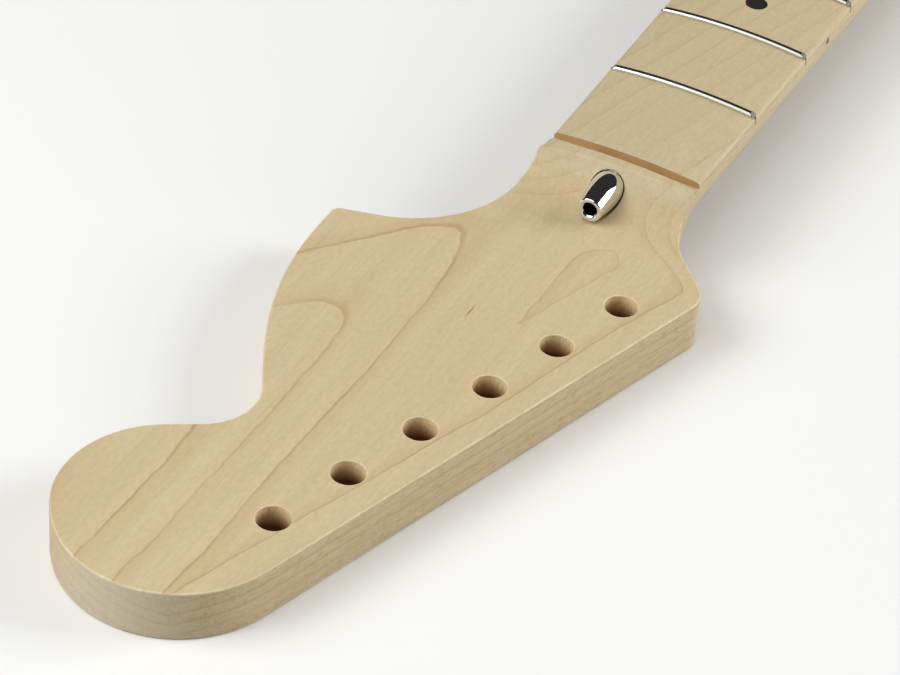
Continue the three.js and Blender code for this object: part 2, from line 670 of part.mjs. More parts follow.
function holes() {
  const tuners = Array.from({ length: TUNER_COUNT }, (_, k) => {
    const [x, y] = besideTuners(k * TUNER_SPACING, 0);
    return upright(TUNER_HOLE, HOLE_SIDES, x, y, -OVERRUN, PLANK);
  });
  const screws = [-1, 1].flatMap((end) => [-1, 1].map((side) => {
    const x = (end * PATTERN_LENGTH) / 2;
    const y = (side * PATTERN_WIDTH) / 2;
    return upright(SCREW_HOLE, SMALL_SIDES, x, y, -OVERRUN, SCREW_DEPTH);
  }));
  return [...tuners, ...screws];
}

const fretNumbers = Array.from({ length: FRET_COUNT }, (_, k) => k + 1);
const blank = standing(belt(outlinePegs()), 0, PLANK + OVERRUN).intersect(carvedBody());
const slots = fretNumbers.map((number) => fretSlot(fretX(number)));
const dots = dotPlaces();
const pockets = dots.flatMap((place) => [
  faceDotBlank(place, DOT_CLEARANCE),
  sideDotBlank(place, DOT_CLEARANCE),
]);
const cuts = joined([scoopCutter(), nutSlot(), ...rodCuts(), ...holes(), ...slots, ...pockets]);

const frets = new THREE.Group();
frets.add(...fretNumbers.map(fret));

const inlays = new THREE.Group();
for (const place of dots) {
  inlays.add(meshOf(`face_dot_${place.label}`, faceDotBlank(place, 0).intersect(blank), blackInlay));
  inlays.add(meshOf(`side_dot_${place.label}`, sideDotBlank(place, 0).intersect(blank), blackInlay));
}

const rod = new THREE.Group();
rod.add(trussRod(), rodAnchor(), rodWasher(), rodNut(), heelPlug(), skunkStripe());

const group = new THREE.Group();
group.add(meshOf('neck', blank.subtract(cuts), maple), frets, inlays, rod);

export default group;
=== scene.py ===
"""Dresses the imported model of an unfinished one-piece maple guitar neck for its picture.

The file is laid out as a Blender add-on and run as a script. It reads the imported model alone.
"""

import math

import bmesh
import bpy
from bpy.props import FloatProperty, IntProperty, PointerProperty, StringProperty
from mathutils import Matrix, Vector


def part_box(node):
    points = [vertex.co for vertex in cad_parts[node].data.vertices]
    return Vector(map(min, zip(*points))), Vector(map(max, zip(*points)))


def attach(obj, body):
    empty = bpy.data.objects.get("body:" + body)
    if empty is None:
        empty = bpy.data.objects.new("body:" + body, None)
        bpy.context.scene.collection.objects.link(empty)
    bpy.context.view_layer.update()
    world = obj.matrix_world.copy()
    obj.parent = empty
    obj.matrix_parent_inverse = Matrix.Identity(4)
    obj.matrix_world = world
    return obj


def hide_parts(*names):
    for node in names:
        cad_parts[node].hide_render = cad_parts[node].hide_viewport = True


bl_info = {
    "name": "Maple Guitar Neck",
    "version": (1, 0, 0),
    "blender": (4, 5, 0),
    "location": "View3D > Sidebar > Guitar Neck",
    "description": "Builds an unfinished one-piece maple neck with its frets, inlays and truss-rod nut",
    "category": "Add Mesh",
}

MM = 0.001

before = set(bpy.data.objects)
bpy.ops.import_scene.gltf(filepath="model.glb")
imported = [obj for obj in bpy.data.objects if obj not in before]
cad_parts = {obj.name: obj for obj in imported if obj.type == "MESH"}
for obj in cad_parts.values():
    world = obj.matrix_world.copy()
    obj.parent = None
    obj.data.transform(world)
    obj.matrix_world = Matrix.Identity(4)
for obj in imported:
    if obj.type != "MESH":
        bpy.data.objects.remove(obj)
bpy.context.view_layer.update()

FRET_NAMES = sorted(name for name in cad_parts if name.startswith("fret_"))
INLAY_NAMES = sorted(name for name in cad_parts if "_dot_" in name)
PLANK_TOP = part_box("face_dot_03")[1].z


def fret_place(number):
    """How far along the neck a packed fret lies."""
    low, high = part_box(f"fret_{number:02d}")
    return (low.x + high.x) / 2


# The nut end of the board follows from the scale: the twelfth fret lies halfway along the string
SCALE = (fret_place(1) - fret_place(12)) / (0.5 - (1 - 2 ** (-1 / 12)))
BOARD_END = fret_place(12) + SCALE / 2

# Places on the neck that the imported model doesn't name
BOARD_RADIUS = 184.15 * MM
HEAD_THICKNESS = 14.3 * MM
NUT_SLOT = 3.2 * MM
LAND_END = 6.3 * MM
SCOOP_RADIUS = 16.0 * MM
SCOOP_SLANT = math.radians(2.5)
HOLE_RADIUS = 4.35 * MM
HOLE_REACH = 5.2 * MM
BORE_REACH = 6.0 * MM
BORE_OPENING = 9.0 * MM
LAND_REACH = 2.5 * MM
LAND_HALF = 20.8 * MM
STRIPE_REACH = 4.0 * MM
SCREWS_HALF_LENGTH = 30.0 * MM
SCREWS_HALF_WIDTH = 22.0 * MM
MOUTH = Vector((BOARD_END + 20.2 * MM, -0.9 * MM, 19.0 * MM))
BARREL_LENGTH = 14.4 * MM
BARREL_EASING = 0.35 * MM
THREAD_FLOOR = 0.6 * MM
BORE_RADIUS = 4.9 * MM
FRET_SEAT = 0.05 * MM
CROWN_SINK = 0.05 * MM
TANG_SINK = 0.02 * MM
TANG_THICKNESS = 0.5 * MM
TANG_DEPTH = 2.2 * MM
TANG_END_INSET = 0.1 * MM
CROWN_REACH = 32.0 * MM
TUNER_COUNT = 6
TUNER_FIRST = Vector((46.6 * MM, 21.5 * MM))
TUNER_STEP = Vector((24.27 * MM, 0.0))
TUNER_LINE_ANGLE = math.radians(-16.82)
TUNER_HOLES = [
    Vector((BOARD_END, 0.0)) + TUNER_FIRST + k * (Matrix.Rotation(TUNER_LINE_ANGLE, 2) @ TUNER_STEP)
    for k in range(TUNER_COUNT)
]

# A small dark mark in the head's face, in millimetres from the board's end
TICK_PLACE = (69.2, -10.3, 0.0)
TICK_SIZE = (3.8, 0.28)

# The lamps' target, and the camera's place in metres, turn in degrees and lens in millimetres
HEAD = Vector((BOARD_END + 60 * MM, 0.0, 0.0))
CAMERA_PLACE = (1.0750, 0.2488, 0.5198)
CAMERA_TURN = (50.887, -3.945, 117.667)
CAMERA_LENS = 128.16

# What counts as a sharp edge, as the same place, as doubled and as too thin to keep
SHARP = math.radians(32)
HAIR = 0.01 * MM
DOUBLE = 0.0005 * MM
SLIVER = 0.002 * MM


# Sizes and colours that a user would change

class NeckWoodSizes(bpy.types.PropertyGroup):
    """The one-piece neck"""
    maple: StringProperty(name="Maple", description="Colour of the sanded maple", default="#D3C199")
    streak: StringProperty(name="Streaks", description="Colour of the broad soft streaks", default="#C9B68C")
    line: StringProperty(name="Late wood", description="Colour of the growth lines", default="#A2773F")
    # The eased edges' colour is paler than the maple: a painted highlight
    edge: StringProperty(name="Eased edge", description="Colour of the rubbed edges", default="#E4D6B6")
    cut: StringProperty(name="Sawn ends", description="Colour of sawn end grain", default="#CBA673")
    # A drilled wall's top is painted paler than the maple, as painted light
    hole_painted_light: StringProperty(name="Hole lips", description="Colour of a drilled wall's top", default="#E9CFA0")
    # Dark brown: painted shade deep in the drilled holes and at the slot wall's bass end; it also colours the
    # scorch specks, the tick and uneven patches
    hole: StringProperty(name="Hole walls", description="Colour of a drilled wall's depth", default="#75431A")
    # The headstock's end is painted paler and whiter than the maple: a painted sheen
    end: StringProperty(name="End grain", description="Colour of the headstock's end", default="#E2DAC6")
    board: StringProperty(name="Board", description="Colour of the fingerboard's face", default="#C6B896")
    easing: FloatProperty(
        name="Eased edge", description="Radius of the sanded edges", default=0.45 * MM,
        min=0.0, unit="LENGTH")
    land_easing: FloatProperty(
        name="Land easing", description="Radius of the land's front edge", default=0.15 * MM,
        min=0.0, unit="LENGTH")
    hole_easing: FloatProperty(
        name="Hole easing", description="Radius of the edge of a drilled hole", default=0.3 * MM,
        min=0.0, unit="LENGTH")


class FretSizes(bpy.types.PropertyGroup):
    """The fret wire"""
    width: FloatProperty(
        name="Width", description="Width of the crown", default=2.3 * MM, unit="LENGTH")
    height: FloatProperty(
        name="Height", description="Height of the crown over the board", default=1.1 * MM, unit="LENGTH")
    board_radius: FloatProperty(
        name="Board radius", description="Radius of the fingerboard's camber", default=BOARD_RADIUS,
        unit="LENGTH")
    end_inset: FloatProperty(
        name="End inset", description="From the board's edge to the crown's end", default=0.5 * MM,
        unit="LENGTH")
    end_angle: FloatProperty(
        name="End bevel", description="Slant of the filed ends", default=math.radians(42),
        subtype="ANGLE")
    end_softening: FloatProperty(
        name="End softening", description="Radius of the filed ends' rim", default=0.15 * MM,
        unit="LENGTH")
    metal: StringProperty(name="Metal", description="Colour of the nickel silver", default="#DCDACF")
    # The filed ends' dark grey is a painted shade, darker than the metal
    filed: StringProperty(
        name="Filed ends", description="Colour of the ends, dull from the file", default="#6E6C66")
    shade: StringProperty(name="Haze", description="Colour where the polish is dull", default="#C6C3B8")


class InlaySizes(bpy.types.PropertyGroup):
    """The position dots"""
    dot: StringProperty(name="Dots", description="Colour of the dots' material", default="#2C2B2A")
    dot_dark: StringProperty(name="Dots' clouds", description="Colour of its faint clouds", default="#242322")


class RodSizes(bpy.types.PropertyGroup):
    """The truss rod's bullet-shaped nut, and what closes the rod in"""
    diameter: FloatProperty(
        name="Diameter", description="Of the barrel", default=9.4 * MM, unit="LENGTH")
    mouth: FloatProperty(
        name="Mouth", description="Diameter of the flat end", default=6.8 * MM, unit="LENGTH")
    ogive: FloatProperty(
        name="Ogive", description="Length of the rounded end", default=12.6 * MM, unit="LENGTH")
    ogive_steps: IntProperty(name="Ogive steps", description="Rings of the rounded end", default=24)
    lead: FloatProperty(
        name="Lead", description="Diameter of the cone at the socket's opening", default=5.0 * MM,
        unit="LENGTH")
    lead_depth: FloatProperty(
        name="Lead depth", description="Depth of the cone", default=0.5 * MM, unit="LENGTH")
    thread: FloatProperty(
        name="Thread", description="Diameter of the threaded hole", default=5.3 * MM, unit="LENGTH")
    rim: FloatProperty(name="Rim", description="Radius of the mouth's rim", default=0.42 * MM, unit="LENGTH")
    socket: FloatProperty(
        name="Socket", description="Across the flats of the wrench socket", default=3.7 * MM,
        unit="LENGTH")
    socket_turn: FloatProperty(
        name="Socket turn", description="Turn of the hexagon", default=0.0, subtype="ANGLE")
    socket_depth: FloatProperty(
        name="Socket depth", description="From the mouth", default=5.5 * MM, unit="LENGTH")
    chrome: StringProperty(name="Chrome", description="Colour of the plating", default="#DCDEE0")
    chrome_haze: StringProperty(name="Chrome haze", description="Colour of its faint haze", default="#F4F4F2")
    # Inside the socket, a near-black painted shade with darker streaks
    oiled: StringProperty(name="Oiled steel", description="Colour inside the socket", default="#2A2825")
    socket_painted_shade_dark: StringProperty(name="Oil", description="Colour of the oil's streaks", default="#141312")
    steel: StringProperty(name="Steel", description="Colour of the rod, anchor and washer", default="#A2A4A6")
    steel_dark: StringProperty(name="Drawn lines", description="Colour of the rod's lines", default="#7C7E80")
    walnut: StringProperty(name="Walnut", description="Colour of the stripe in the back", default="#7A5638")
    walnut_dark: StringProperty(name="Walnut grain", description="Colour of its grain", default="#4A2F1C")
    dowel: StringProperty(name="Dowel", description="Colour of the plug in the heel", default="#D0B78C")
    dowel_dark: StringProperty(name="Dowel grain", description="Colour of its grain", default="#B3905F")


class StageSizes(bpy.types.PropertyGroup):
    """Floor, lamps and camera"""
    floor: StringProperty(name="Floor", description="Colour of the floor", default="#F0F0EE")
    right: FloatProperty(
        name="Right box", description="Power of the low soft box on the bass side", default=20.0,
        subtype="POWER")
    left: FloatProperty(
        name="Left box", description="Power of the soft box on the treble side", default=13.5,
        subtype="POWER")
    front: FloatProperty(
        name="Front box", description="Power of the soft box past the headstock", default=9.0,
        subtype="POWER")
    ambient: FloatProperty(name="Ambient", description="Strength of the room's light", default=0.28)
    bounce: StringProperty(
        name="Bounce", description="Colour that the floor throws back on the neck", default="#A6A6A4")


def sizes(name):
    """The named property group of the scene."""
    return getattr(bpy.context.scene, name)


# Materials: colours are sRGB hex, and one function adds a node

# A metal's faint haze has softer clouds than streaks have
HAZE = {"detail": 2.0, "gain": 0.5, "reach": (0.0, 1.0)}
WIRE_HAZE = (0.4, 6.25, 5 / 3)


def linear(hex_colour):
    """An sRGB hex colour as linear RGBA."""
    parts = [int(hex_colour[i:i + 2], 16) / 255 for i in (1, 3, 5)]
    return [c / 12.92 if c <= 0.04045 else ((c + 0.055) / 1.055) ** 2.4 for c in parts] + [1.0]


def add_node(tree, kind, inputs=None, **settings):
    """Adds a node, sets its properties and sockets, and links the sockets given as outputs."""
    node = tree.nodes.new(kind)
    for key, value in settings.items():
        setattr(node, key, value)
    for key, value in (inputs or {}).items():
        if isinstance(value, bpy.types.NodeSocket):
            tree.links.new(value, node.inputs[key])
        else:
            node.inputs[key].default_value = value
    return node


def new_material(name):
    """A material with its tree emptied, and the tree."""
    material = bpy.data.materials.new(name)
    material.use_nodes = True
    material.node_tree.nodes.clear()
    return material, material.node_tree


def finish_material(tree, inputs):
    """Puts a Principled shader with these inputs on the material's output."""
    shader = add_node(tree, "ShaderNodeBsdfPrincipled", inputs)
    add_node(tree, "ShaderNodeOutputMaterial", {"Surface": shader.outputs["BSDF"]})


def maple_material(name, settings, pale):
    """Hard maple, planed and sanded to a satin and left without finish, or painted paler at an eased edge as a
    painted highlight.

    Growth rings show as thin brown lines, each fading towards the ring before it, with a fine lengthwise fleck.
    The sawn slot's wall is browner than the faces, with painted shade towards the bass end; drilled walls get
    painted light at the top and painted shade deeper down, with scorch specks; walls facing along the neck are
    painted paler as a painted sheen.
    """
    material, tree = new_material(name)
    metres = add_node(tree, "ShaderNodeTexCoord").outputs["Object"]
    place = add_node(
        tree, "ShaderNodeMapping",
        {"Vector": metres, "Location": (-BOARD_END / MM, 0, -HEAD_THICKNESS / MM), "Scale": [1 / MM] * 3},
        vector_type="POINT").outputs["Vector"]
    along = add_node(tree, "ShaderNodeSeparateXYZ", {"Vector": place}).outputs

    # Slow waves of a few millimetres over 60 mm, and finer ones over 9 mm
    waved = place
    for size, detail, reach in ((60, 1.0, (4, 4, 1.5)), (9, 2.0, (0.5, 0.5, 0.4))):
        wave = add_node(tree, "ShaderNodeTexNoise", {"Vector": place, "Scale": 1 / size, "Detail": detail})
        wave = add_node(
            tree, "ShaderNodeVectorMath", {0: wave.outputs["Color"], 1: (-0.5, -0.5, -0.5)}, operation="ADD")
        waved = add_node(
            tree, "ShaderNodeVectorMath", {0: wave.outputs[0], 1: reach, 2: waved},
            operation="MULTIPLY_ADD").outputs[0]

    # The head's rings: upper limbs along the neck, lower limbs that run down to the treble edge,
    # and a hook near the end. Each limb is a plane of growth, told as rings a millimetre along X,
    # Y and Z, and the rings take the lesser of them. The board has plainer rings of its own
    limbs = {}
    for limb, direction, start in (
        ("upper", (0.0, -1 / 12, -1 / 3.2), -10.5 / 12),
        ("lower", (0.605 / 18.3, 0.796 / 18.3, -1 / 3.2), 1 + 2.55 / 18.3),
        ("hook", (0.304 / 9, 0.953 / 9, -1 / 3.2), 1 - 41.4 / 9),
        ("board", (0.242 / 6.5, 0.97 / 6.5, -1 / 6), 0.3),
    ):
        grown = add_node(tree, "ShaderNodeVectorMath", {0: waved, 1: direction}, operation="DOT_PRODUCT")
        limbs[limb] = add_node(
            tree, "ShaderNodeMath", {0: grown.outputs["Value"], 1: start}, operation="ADD").outputs[0]
    rings = add_node(
        tree, "ShaderNodeMath", {0: limbs["upper"], 1: limbs["lower"], 2: 2.4}, operation="SMOOTH_MIN")
    rings = add_node(
        tree, "ShaderNodeMath", {0: rings.outputs[0], 1: limbs["hook"], 2: 0.15}, operation="SMOOTH_MAX")
    on_head = add_node(
        tree, "ShaderNodeMapRange", {"Value": along["X"], "From Min": 2.0, "From Max": 34.0},
        interpolation_type="SMOOTHSTEP").outputs[0]
    age = add_node(
        tree, "ShaderNodeMix", {"Factor": on_head, "A": limbs["board"], "B": rings.outputs[0]},
        data_type="FLOAT").outputs["Result"]

    # Each ring darkens slowly and ends in a thin line of late wood, strong in some rings only.
    # The ring next to the innermost is hardly seen
    share = add_node(tree, "ShaderNodeMath", {0: age}, operation="FRACT").outputs[0]
    year = add_node(tree, "ShaderNodeMath", {0: age}, operation="FLOOR").outputs[0]
    chance = add_node(tree, "ShaderNodeTexWhiteNoise", {"W": year}, noise_dimensions="1D").outputs["Value"]
    strength = add_node(tree, "ShaderNodeMath", {0: chance, 1: 0.2, 2: 0.24}, operation="MULTIPLY_ADD")
    unseen = add_node(tree, "ShaderNodeMath", {0: year, 1: -1.0, 2: 0.1}, operation="COMPARE").outputs[0]
    late = add_node(
        tree, "ShaderNodeMapRange", {"Value": share, "From Min": 0.5, "From Max": 1.0, "To Max": 0.35},
        interpolation_type="SMOOTHERSTEP").outputs[0]
    line = add_node(
        tree, "ShaderNodeMapRange", {"Value": share, "From Min": 0.92, "From Max": 0.98},
        interpolation_type="SMOOTHSTEP").outputs[0]

    # Patterns by their size in millimetres along, across and through the neck. The real flecks
    # and pores are a tenth of a millimetre wide, too fine to show, so they are drawn coarser
    noises = {}
    for pattern, vector, size, detail, roughness in (
        ("patchy", place, (22, 22, 22), 1.0, 0.5),
        ("fleck", waved, (15, 0.7, 0.9), 2.0, 0.6),
        ("streak", waved, (70, 5, 3), 2.0, 0.5),
        ("mottle", place, (2.2, 1.1, 1.1), 3.0, 0.6),
        ("specks", place, (0.625, 0.625, 1.25), 3.0, 0.7),
    ):
        scaled = add_node(tree, "ShaderNodeMapping", {"Vector": vector, "Scale": [1 / part for part in size]})
        noises[pattern] = add_node(
            tree, "ShaderNodeTexNoise",
            {"Vector": scaled.outputs["Vector"], "Scale": 1.0, "Detail": detail, "Roughness": roughness},
        ).outputs["Fac"]

    # How far a place lies off the nearest tuner hole's axis, in the frame of their row
    row = add_node(
        tree, "ShaderNodeMapping",
        {"Vector": place, "Location": (-TUNER_FIRST.x / MM, -TUNER_FIRST.y / MM, 0)}).outputs["Vector"]
    row = add_node(tree, "ShaderNodeMapping", {"Vector": row, "Rotation": (0, 0, -TUNER_LINE_ANGLE)})
    row = add_node(tree, "ShaderNodeSeparateXYZ", {"Vector": row.outputs["Vector"]}).outputs
    step = TUNER_STEP.x / MM
    nearest = add_node(tree, "ShaderNodeMath", {0: row["X"], 1: -step / 2, 2: step / 2}, operation="WRAP")
    off_hole = add_node(tree, "ShaderNodeCombineXYZ", {"X": nearest.outputs[0], "Y": row["Y"]}).outputs[0]
    off_hole = add_node(tree, "ShaderNodeVectorMath", {0: off_hole}, operation="LENGTH").outputs["Value"]
    in_row = add_node(
        tree, "ShaderNodeMath", {0: row["X"], 1: (TUNER_COUNT - 1) / 2 * step, 2: TUNER_COUNT / 2 * step},
        operation="COMPARE").outputs[0]

    # A dark tick in the head's face
    scale = [1 / size for size in TICK_SIZE] + [0]
    centre = [-part * size for part, size in zip(TICK_PLACE, scale)]
    off_tick = add_node(
        tree, "ShaderNodeMapping", {"Vector": place, "Location": centre, "Scale": scale}).outputs["Vector"]
    off_tick = add_node(tree, "ShaderNodeVectorMath", {0: off_tick}, operation="LENGTH").outputs["Value"]

    # How far a wall faces along the neck, and a face up or down, each squared
    facing = add_node(tree, "ShaderNodeNewGeometry").outputs["Normal"]
    facing = add_node(tree, "ShaderNodeSeparateXYZ", {"Vector": facing}).outputs
    squares = {}
    for part in "XZ":
        squares[part] = add_node(
            tree, "ShaderNodeMath", {0: facing[part], 1: facing[part]}, operation="MULTIPLY").outputs[0]

    # Masks: what each reads, its start and stop, and its share at both. Places are in millimetres
    # from the board's end and the head's face
    masks = {"in_row": in_row, "strength": strength.outputs[0]}
    for mask, value, start, stop, low, high in (
        ("board", along["X"], 8.0, 5.0, 0.0, 0.6),
        ("scoop", along["X"], 26.0, 12.0, 0.0, 0.13),
        ("past_land", along["X"], 6.6, 7.6, 0.0, 1.0),
        ("before_slot", along["X"], 0.05, 0.4, 1.0, 0.0),
        ("past_board", along["X"], -0.1, -0.02, 0.0, 1.0),
        # Painted shade: the slot's wall darkens towards the bass end
        ("painted_slot_shade", along["Y"], 4.0, 21.0, 0.0, 0.35),
        ("hole", off_hole, HOLE_RADIUS / MM + 0.05, HOLE_RADIUS / MM + 0.15, 1.0, 0.0),
        # Drilled walls: painted light under the lip, painted shade deeper down
        ("under_lip", row["Z"], -0.3, -0.6, 0.0, 1.0),
        ("deep", row["Z"], -1.0, -6.5, 0.0, 1.0),
        ("tick", off_tick, 0.3, 1.0, 0.7, 0.0),
        ("end_wall", squares["X"], 0.55, 0.98, 0.0, 1.0),
        # Walls facing along the neck are painted paler as a painted sheen
        ("painted_end_sheen", squares["X"], 0.55, 0.98, 0.0, 0.45),
        ("wall_flecks", squares["Z"], 0.0, 1.0, 0.46, 0.14),
        ("quiet", on_head, 0.0, 1.0, 0.6, 1.15),
        ("faint", unseen, 0.0, 1.0, 1.0, 0.12),
        ("patchy", noises["patchy"], 0.3, 0.65, 0.35, 1.0),
        ("uneven", noises["patchy"], 0.65, 0.3, 0.0, 0.5),
        ("fleck", noises["fleck"], 0.52, 0.8, 0.0, 1.0),
        ("streak", noises["streak"], 0.35, 0.7, 0.0, 0.6),
        ("mottle", noises["mottle"], 0.35, 0.7, 0.0, 0.17),
        ("specks", noises["specks"], 0.5, 0.7, 0.0, 0.4),
    ):
        masks[mask] = add_node(
            tree, "ShaderNodeMapRange",
            {"Value": value, "From Min": start, "From Max": stop, "To Min": low, "To Max": high}).outputs[0]
    masks["drawn"] = add_node(
        tree, "ShaderNodeMath", {0: line, 1: masks["patchy"], 2: late}, operation="MULTIPLY_ADD").outputs[0]
    for product, first, *others in (
        ("grain", "drawn", "strength", "quiet", "faint"),
        ("flecks", "fleck", "wall_flecks"),
        ("in_scoop", "scoop", "past_land"),
        ("slot_wall", "before_slot", "past_board", "end_wall"),
        ("bored", "hole", "under_lip", "in_row"),
        ("painted_hole_shade", "bored", "deep"),
        ("scorched", "bored", "specks"),
    ):
        masks[product] = masks[first]
        for other in others:
            masks[product] = add_node(
                tree, "ShaderNodeMath", {0: masks[product], 1: masks[other]}, operation="MULTIPLY").outputs[0]

    # Colours laid over the pale wood one by one, each by its mask. The slot wall's darkening towards the bass
    # end and the drilled walls' dark depth are painted shade, the drilled walls' pale tops painted light, and
    # the paler walls facing along the neck a painted sheen
    wall, colour = linear(settings.cut), linear(pale)
    # The slot wall's sawn colour gets random patches and painted shade towards the bass end
    for mask in ("uneven", "painted_slot_shade"):
        wall = add_node(
            tree, "ShaderNodeMix", {"Factor": masks[mask], "A": wall, "B": linear(settings.hole)},
            data_type="RGBA").outputs["Result"]
    for mask, laid in (
        ("streak", linear(settings.streak)),
        ("board", linear(settings.board)),
        ("grain", linear(settings.line)),
        ("flecks", linear(settings.line)),
        ("mottle", linear(settings.line)),
        ("tick", linear(settings.hole)),
        ("in_scoop", linear(settings.line)),
        # Painted sheen on walls facing along the neck
        ("painted_end_sheen", linear(settings.end)),
        ("slot_wall", wall),
        # Painted light at the drilled walls' top, painted shade at depth, then real scorch specks
        ("bored", linear(settings.hole_painted_light)),
        ("painted_hole_shade", linear(settings.hole)),
        ("scorched", linear(settings.hole)),
    ):
        colour = add_node(
            tree, "ShaderNodeMix", {"Factor": masks[mask], "A": colour, "B": laid},
            data_type="RGBA").outputs["Result"]
    rough = add_node(tree, "ShaderNodeMapRange", {"Value": masks["flecks"], "To Min": 0.5, "To Max": 0.62})
    bump = add_node(
        tree, "ShaderNodeBump", {"Strength": 0.12, "Distance": 0.05 * MM, "Height": masks["flecks"]})
    finish_material(tree, {
        "Base Color": colour, "Roughness": rough.outputs[0], "Normal": bump.outputs["Normal"], "IOR": 1.5})
    return material


def streaked_material(
        name, pale, dark, scale, metallic, roughness, duller=0.12, detail=4.0, gain=0.6, reach=(0.35, 0.68)):
    """A material with darker and duller streaks or clouds, such as drawn steel, walnut or a polished metal.

    Their sizes are in millimetres along, across and through the neck. The reach is the noise's
    values at which they begin and are full.
    """
    material, tree = new_material(name)
    place = add_node(tree, "ShaderNodeTexCoord").outputs["Object"]
    place = add_node(tree, "ShaderNodeMapping", {"Vector": place, "Scale": [1 / (size * MM) for size in scale]})
    streak = add_node(
        tree, "ShaderNodeTexNoise",
        {"Vector": place.outputs["Vector"], "Scale": 1.0, "Detail": detail, "Roughness": gain}).outputs["Fac"]
    streak = add_node(
        tree, "ShaderNodeMapRange", {"Value": streak, "From Min": reach[0], "From Max": reach[1]}).outputs[0]
    colour = add_node(
        tree, "ShaderNodeMix", {"Factor": streak, "A": linear(pale), "B": linear(dark)},
        data_type="RGBA").outputs["Result"]
    rough = add_node(
        tree, "ShaderNodeMapRange", {"Value": streak, "To Min": roughness, "To Max": roughness + duller})
    finish_material(tree, {"Base Color": colour, "Metallic": metallic, "Roughness": rough.outputs[0]})
    return material


def give_material(piece, material):
    """Puts one material on a piece."""
    piece.data.materials.clear()
    piece.data.materials.append(material)


# Mesh steps

def deselect_all():
    """Leaves nothing selected, as every step acts on all that is."""
    bpy.ops.object.select_all(action="DESELECT")


def make_active(piece):
    """Selects one piece alone and makes it the active one."""
    deselect_all()
    piece.select_set(True)
    bpy.context.view_layer.objects.active = piece


def apply_modifier(piece, kind, **settings):
    """Adds a modifier to a piece and applies it."""
    make_active(piece)
    modifier = piece.modifiers.new(kind.title(), kind)
    for key, value in settings.items():
        setattr(modifier, key, value)
    bpy.ops.object.modifier_apply(modifier=modifier.name)


def settle(piece):
    """Moves a piece's place into its mesh."""
    make_active(piece)
    bpy.ops.object.transform_apply(location=True, rotation=True, scale=True)


def copy_of_node(node, name):
    """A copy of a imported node's mesh, its loose triangles merged."""
    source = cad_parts[node]
    piece = bpy.data.objects.new(name, source.data.copy())
    bpy.context.scene.collection.objects.link(piece)
    make_active(piece)
    bpy.ops.object.mode_set(mode="EDIT")
    bpy.ops.mesh.select_all(action="SELECT")
    bpy.ops.mesh.remove_doubles(threshold=DOUBLE)
    bpy.ops.mesh.dissolve_limited(angle_limit=math.radians(0.05))
    bpy.ops.object.mode_set(mode="OBJECT")
    return piece


def select_edges(piece, wanted):
    """Leaves the piece in edit mode with only the wanted edges selected."""
    make_active(piece)
    bpy.ops.object.mode_set(mode="EDIT")
    bpy.ops.mesh.select_mode(type="EDGE")
    bpy.ops.mesh.select_all(action="DESELECT")
    mesh = bmesh.from_edit_mesh(piece.data)
    for edge in mesh.edges:
        if wanted(edge):
            edge.select_set(True)
    bmesh.update_edit_mesh(piece.data)


def ease_edges(piece, wanted, radius, segments, material=-1):
    """Rounds the wanted edges of a piece, and gives the new faces a material slot if it is named.

    Edges much shorter than the radius are merged first, since the rounding would fold over there.
    """
    select_edges(piece, wanted)
    bpy.ops.mesh.remove_doubles(threshold=radius / 4)
    bpy.ops.object.mode_set(mode="OBJECT")
    select_edges(piece, wanted)
    bpy.ops.mesh.bevel(
        offset=radius, segments=segments, affect="EDGES", clamp_overlap=False, material=material)
    bpy.ops.object.mode_set(mode="OBJECT")


def merge_slivers(piece):
    """Merges what easing left thinner than a micron or two."""
    make_active(piece)
    bpy.ops.object.mode_set(mode="EDIT")
    bpy.ops.mesh.select_all(action="SELECT")
    bpy.ops.mesh.remove_doubles(threshold=SLIVER)
    bpy.ops.mesh.dissolve_degenerate(threshold=SLIVER)
    bpy.ops.object.mode_set(mode="OBJECT")


def set_normals(piece, normal_of):
    """Gives each corner the true normal of its curved surface where normal_of knows it."""
    mesh = piece.data
    normals = [Vector(corner.vector) for corner in mesh.corner_normals]
    for face in mesh.polygons:
        points = [mesh.vertices[vertex].co for vertex in face.vertices]
        surface = normal_of(face, points)
        for corner, point in zip(face.loop_indices, points):
            if surface:
                normals[corner] = surface(point)
            elif normals[corner].dot(face.normal) < math.cos(SHARP):
                normals[corner] = face.normal.copy()
    mesh.normals_split_custom_set(normals)


def place_piece(piece, body, slot, *nodes):
    """Rides the piece on its body and hides the nodes it stands for; its finish's slot is not used."""
    if nodes:
        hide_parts(*nodes)
    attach(piece, body)


def middle(edge):
    """The middle of an edge."""
    return (edge.verts[0].co + edge.verts[1].co) / 2


def near_tuner_hole(point):
    """Whether a point is in or just beside a tuner hole."""
    return any((point.xy - hole).length < HOLE_REACH for hole in TUNER_HOLES)


def near_bore(point):
    """Whether a point is in or just beside the rod's bore, where it opens in the scoop."""
    opening = BOARD_END + LAND_END < point.x < MOUTH.x + BORE_OPENING
    return opening and (point - MOUTH).yz.length < BORE_REACH


def stands_out(edge):
    """Whether an edge is sharp and its faces turn away from each other."""
    return len(edge.link_faces) == 2 and edge.calc_face_angle_signed(0.0) > SHARP


def is_face_edge(edge):
    """The edge round the headstock's face and up the scoop."""
    point = middle(edge)
    if point.x < BOARD_END + LAND_END + LAND_REACH or point.z < HEAD_THICKNESS / 2:
        return False
    return stands_out(edge) and not near_tuner_hole(point) and not near_bore(point)


def is_land_edge(edge):
    """The front edge of the land beside the string nut's slot."""
    point = middle(edge)
    if not BOARD_END + NUT_SLOT + HAIR < point.x < BOARD_END + LAND_END + LAND_REACH:
        return False
    if abs(point.y) > LAND_HALF or point.z < PLANK_TOP - 2 * MM:
        return False
    return stands_out(edge) and any(face.normal.x > 0.5 for face in edge.link_faces)


